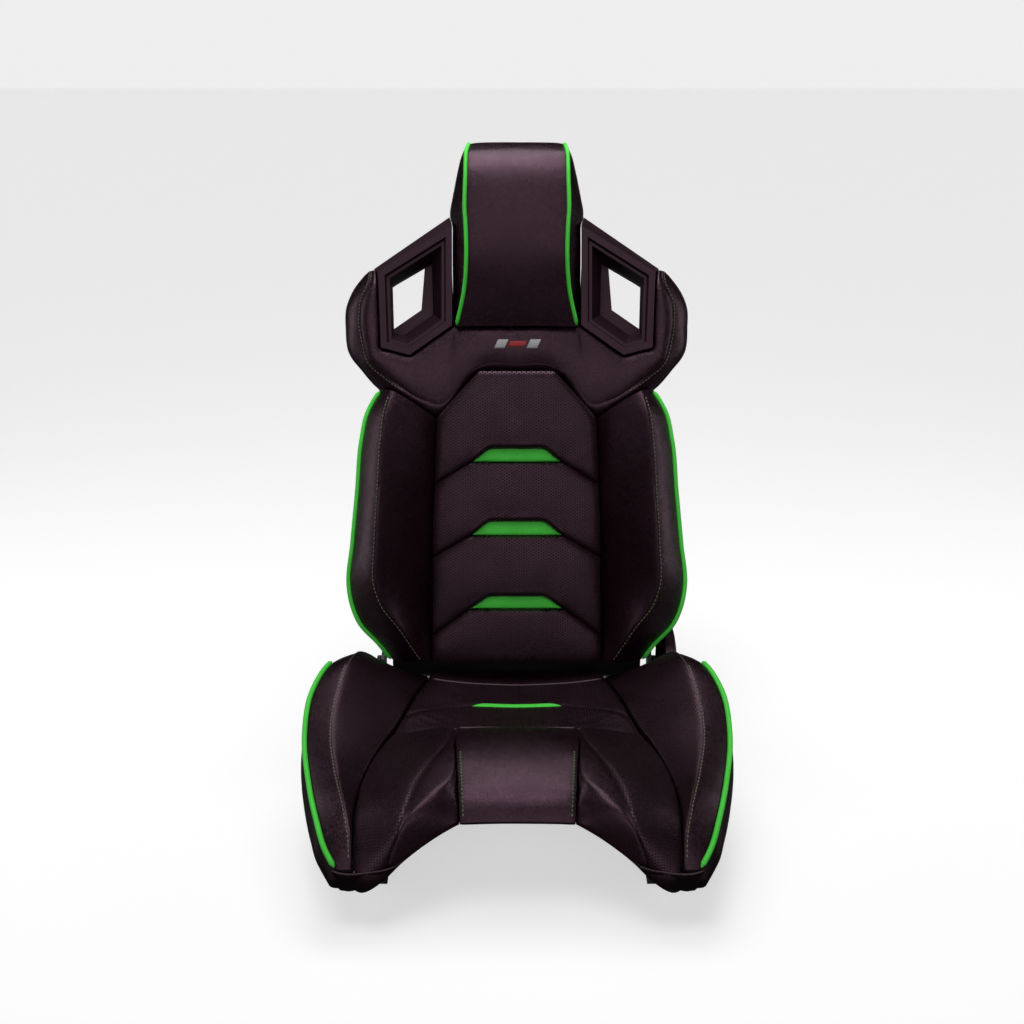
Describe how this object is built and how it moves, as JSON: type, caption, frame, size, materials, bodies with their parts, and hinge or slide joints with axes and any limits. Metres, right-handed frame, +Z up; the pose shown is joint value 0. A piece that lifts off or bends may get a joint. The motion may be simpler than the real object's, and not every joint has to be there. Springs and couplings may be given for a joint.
{
  "type": "reclining bucket seat",
  "caption": "Reclining bucket seat with harness openings, perforated centre panels, contrast piping, a sliding rail base and a lever-released backrest.",
  "frame": {"origin": "centre of the four rail mounting holes, on the plane that the rails stand on", "axes": "+Z up, -Y towards the front of the seat (the way the sitter faces), +X to the sitter's left"},
  "size_m": [0.5898, 0.7329, 0.9176],
  "materials": {
    "smooth_leather": "smooth semi-matt leatherette",
    "perforated_leather": "perforated leatherette",
    "green_leather": "satin leatherette",
    "textured_plastic": "fine moulded grain",
    "black_paint": "satin powder coat",
    "zinc_steel": "zinc plated",
    "spring_steel": "oiled spring steel",
    "glide_plastic": "natural acetal",
    "grip_rubber": "matt"
  },
  "bodies": {
    "base": {"lower_rail_left": "black_paint", "lower_rail_right": "black_paint"},
    "seat": {"cushion_bolster_left": "smooth_leather", "cushion_bolster_right": "smooth_leather", "cushion_foam": "perforated_leather", "cushion_piping_left": "green_leather", "cushion_piping_right": "green_leather", "front_pad": "smooth_leather", "latch_pivots": "zinc_steel", "pawl_pins": "zinc_steel", "rail_bolts": "zinc_steel", "rail_glides": "glide_plastic", "rail_spacers": "zinc_steel", "recliner_bracket_left": "black_paint", "recliner_bracket_right": "black_paint", "recliner_bushes": "zinc_steel", "recliner_cover": "textured_plastic", "recliner_spring_left": "spring_steel", "recliner_spring_right": "spring_steel", "seat_accent_insert": "green_leather", "seat_cross_tubes": "black_paint", "seat_side_tube_left": "black_paint", "seat_side_tube_right": "black_paint", "seat_springs": "spring_steel", "thigh_pad_left": "perforated_leather", "thigh_pad_right": "perforated_leather", "upper_rail_left": "zinc_steel", "upper_rail_right": "zinc_steel"},
    "backrest": {"recliner_arm_left": "black_paint", "recliner_arm_right": "black_paint", "arm_bolts": "zinc_steel", "backrest_frame": "black_paint", "back_cross_tubes": "black_paint", "lumbar_springs": "spring_steel", "back_foam": "perforated_leather", "back_bolster_left": "smooth_leather", "back_bolster_right": "smooth_leather", "shoulder_yoke": "smooth_leather", "headrest_foam": "smooth_leather", "back_tail_flap": "smooth_leather", "harness_bezel_left": "textured_plastic", "harness_bezel_right": "textured_plastic", "bezel_back_left": "textured_plastic", "bezel_back_right": "textured_plastic", "back_shell": "textured_plastic", "back_piping_left": "green_leather", "back_piping_right": "green_leather", "headrest_piping_left": "green_leather", "headrest_piping_right": "green_leather", "back_accent_inserts": "green_leather"},
    "recline_lever": {"recline_lever": "textured_plastic", "sync_rod": "zinc_steel"},
    "pawl_left": {"recliner_pawl_left": "zinc_steel"},
    "pawl_right": {"recliner_pawl_right": "zinc_steel"},
    "slide_release": {"slide_release_bar": "black_paint", "release_bar_grip": "grip_rubber", "slide_latch_left": "zinc_steel", "slide_latch_right": "zinc_steel"}
  },
  "joints": [
    {"name": "seat_slide", "type": "slide", "parent": "base", "child": "seat", "axis": [0, -1, 0], "range_m": [-0.09, 0.09]},
    {"name": "backrest_recline", "type": "hinge", "parent": "seat", "child": "backrest", "pos_m": [0, 0.15, 0.135], "axis": [-1, 0, 0], "range_deg": [-3, 60]},
    {"name": "recline_lever_turn", "type": "hinge", "parent": "seat", "child": "recline_lever", "pos_m": [0, 0.15, 0.135], "axis": [-1, 0, 0], "range_deg": [0, 24], "stiffness_Nm_per_rad": 1.2, "springref_deg": -20.05},
    {"name": "pawl_left_turn", "type": "hinge", "parent": "seat", "child": "pawl_left", "pos_m": [0.2045, 0.112, 0.099], "axis": [-1, 0, 0], "range_deg": [0, 8]},
    {"name": "pawl_right_turn", "type": "hinge", "parent": "seat", "child": "pawl_right", "pos_m": [-0.2045, 0.112, 0.099], "axis": [-1, 0, 0], "range_deg": [0, 8]},
    {"name": "slide_release_lift", "type": "hinge", "parent": "seat", "child": "slide_release", "pos_m": [0, 0.04, 0.038], "axis": [-1, 0, 0], "range_deg": [0, 8], "stiffness_Nm_per_rad": 3, "springref_deg": -28.65}
  ],
  "couplings": [
    {"joint": "pawl_left_turn", "follows": "recline_lever_turn", "ratio": 0.33},
    {"joint": "pawl_right_turn", "follows": "recline_lever_turn", "ratio": 0.33}
  ]
}
